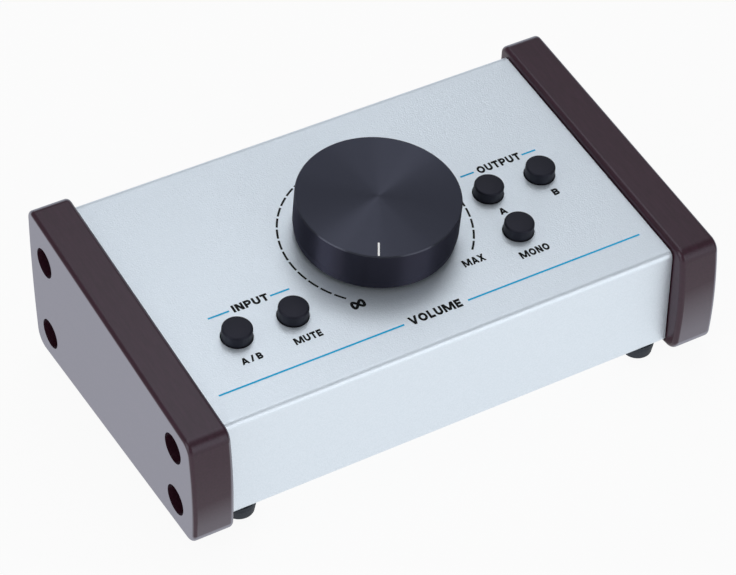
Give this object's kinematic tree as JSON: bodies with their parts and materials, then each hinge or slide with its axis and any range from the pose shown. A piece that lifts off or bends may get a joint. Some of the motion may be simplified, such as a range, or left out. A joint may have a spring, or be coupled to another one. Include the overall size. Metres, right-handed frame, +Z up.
{
  "type": "studio monitor controller",
  "caption": "Wedge-shaped desktop monitor controller: silver metal box between dark cheeks, large turned volume knob, push buttons, jack sockets at the rear.",
  "frame": {"origin": "on the table, under the middle of the footprint", "axes": "+X to the user's right, +Y to the rear where the sockets are, +Z up"},
  "size_m": [0.1906, 0.1112, 0.0688],
  "materials": {
    "silver_paint": "satin, finely textured",
    "stained_wood": "dark stain under satin lacquer",
    "black_anodised": "spun, black anodised",
    "white_fill": "matt",
    "brass": "turned",
    "nickel": "nickel plated",
    "zinc_steel": "bright zinc plated",
    "black_rubber": "matt",
    "black_plastic": "matt",
    "circuit_board": "green solder resist",
    "grey_ribbon": "matt",
    "carbon_track": "matt"
  },
  "bodies": {
    "body": {"board_pillars": "zinc_steel", "board_screws": "zinc_steel", "case_screws": "zinc_steel", "chassis": "silver_paint", "clinch_nuts": "zinc_steel", "control_board": "circuit_board", "foot_screws": "zinc_steel", "front_left_foot": "black_rubber", "front_right_foot": "black_rubber", "input_a_left_jack": "black_plastic", "input_a_right_jack": "black_plastic", "input_ab_spring": "zinc_steel", "input_ab_switch": "black_plastic", "input_b_mini_jack": "black_plastic", "jack_board": "circuit_board", "jack_nuts": "nickel", "left_cheek": "stained_wood", "left_cheek_screws": "zinc_steel", "mono_spring": "zinc_steel", "mono_switch": "black_plastic", "mute_spring": "zinc_steel", "mute_switch": "black_plastic", "output_a_left_jack": "black_plastic", "output_a_right_jack": "black_plastic", "output_a_spring": "zinc_steel", "output_a_switch": "black_plastic", "output_b_left_jack": "black_plastic", "output_b_right_jack": "black_plastic", "output_b_spring": "zinc_steel", "output_b_switch": "black_plastic", "rear_left_foot": "black_rubber", "rear_panel": "silver_paint", "rear_right_foot": "black_rubber", "ribbon_cable": "grey_ribbon", "ribbon_headers": "black_plastic", "right_cheek": "stained_wood", "right_cheek_screws": "zinc_steel", "top_cover": "silver_paint", "volume_bushing": "brass", "volume_nut": "nickel", "volume_pot_case": "black_plastic", "volume_pot_tracks": "carbon_track", "volume_washer": "nickel"},
    "volume": {"volume_knob": "black_anodised", "knob_pointer": "white_fill", "knob_hub": "brass", "knob_set_screw": "zinc_steel", "volume_shaft": "zinc_steel", "volume_wipers": "brass"},
    "input_ab_button": {"input_ab_cap": "black_plastic", "input_ab_plunger": "black_plastic"},
    "mute_button": {"mute_cap": "black_plastic", "mute_plunger": "black_plastic"},
    "output_a_button": {"output_a_cap": "black_plastic", "output_a_plunger": "black_plastic"},
    "output_b_button": {"output_b_cap": "black_plastic", "output_b_plunger": "black_plastic"},
    "mono_button": {"mono_cap": "black_plastic", "mono_plunger": "black_plastic"}
  },
  "joints": [
    {"name": "volume_turn", "type": "hinge", "parent": "body", "child": "volume", "pos_m": [0, 0.00023, 0.04945], "axis": [0, 0.1357, -0.9907], "range_deg": [0, 300]},
    {"name": "input_ab_press", "type": "slide", "parent": "body", "child": "input_ab_button", "axis": [0, 0.1357, -0.9907], "range_m": [0, 0.0028], "stiffness_N_per_m": 150, "springref_m": -0.004, "deforming": ["input_ab_spring"]},
    {"name": "mute_press", "type": "slide", "parent": "body", "child": "mute_button", "axis": [0, 0.1357, -0.9907], "range_m": [0, 0.0028], "stiffness_N_per_m": 150, "springref_m": -0.004, "deforming": ["mute_spring"]},
    {"name": "output_a_press", "type": "slide", "parent": "body", "child": "output_a_button", "axis": [0, 0.1357, -0.9907], "range_m": [0, 0.0028], "stiffness_N_per_m": 150, "springref_m": -0.004, "deforming": ["output_a_spring"]},
    {"name": "output_b_press", "type": "slide", "parent": "body", "child": "output_b_button", "axis": [0, 0.1357, -0.9907], "range_m": [0, 0.0028], "stiffness_N_per_m": 150, "springref_m": -0.004, "deforming": ["output_b_spring"]},
    {"name": "mono_press", "type": "slide", "parent": "body", "child": "mono_button", "axis": [0, 0.1357, -0.9907], "range_m": [0, 0.0028], "stiffness_N_per_m": 150, "springref_m": -0.004, "deforming": ["mono_spring"]}
  ]
}
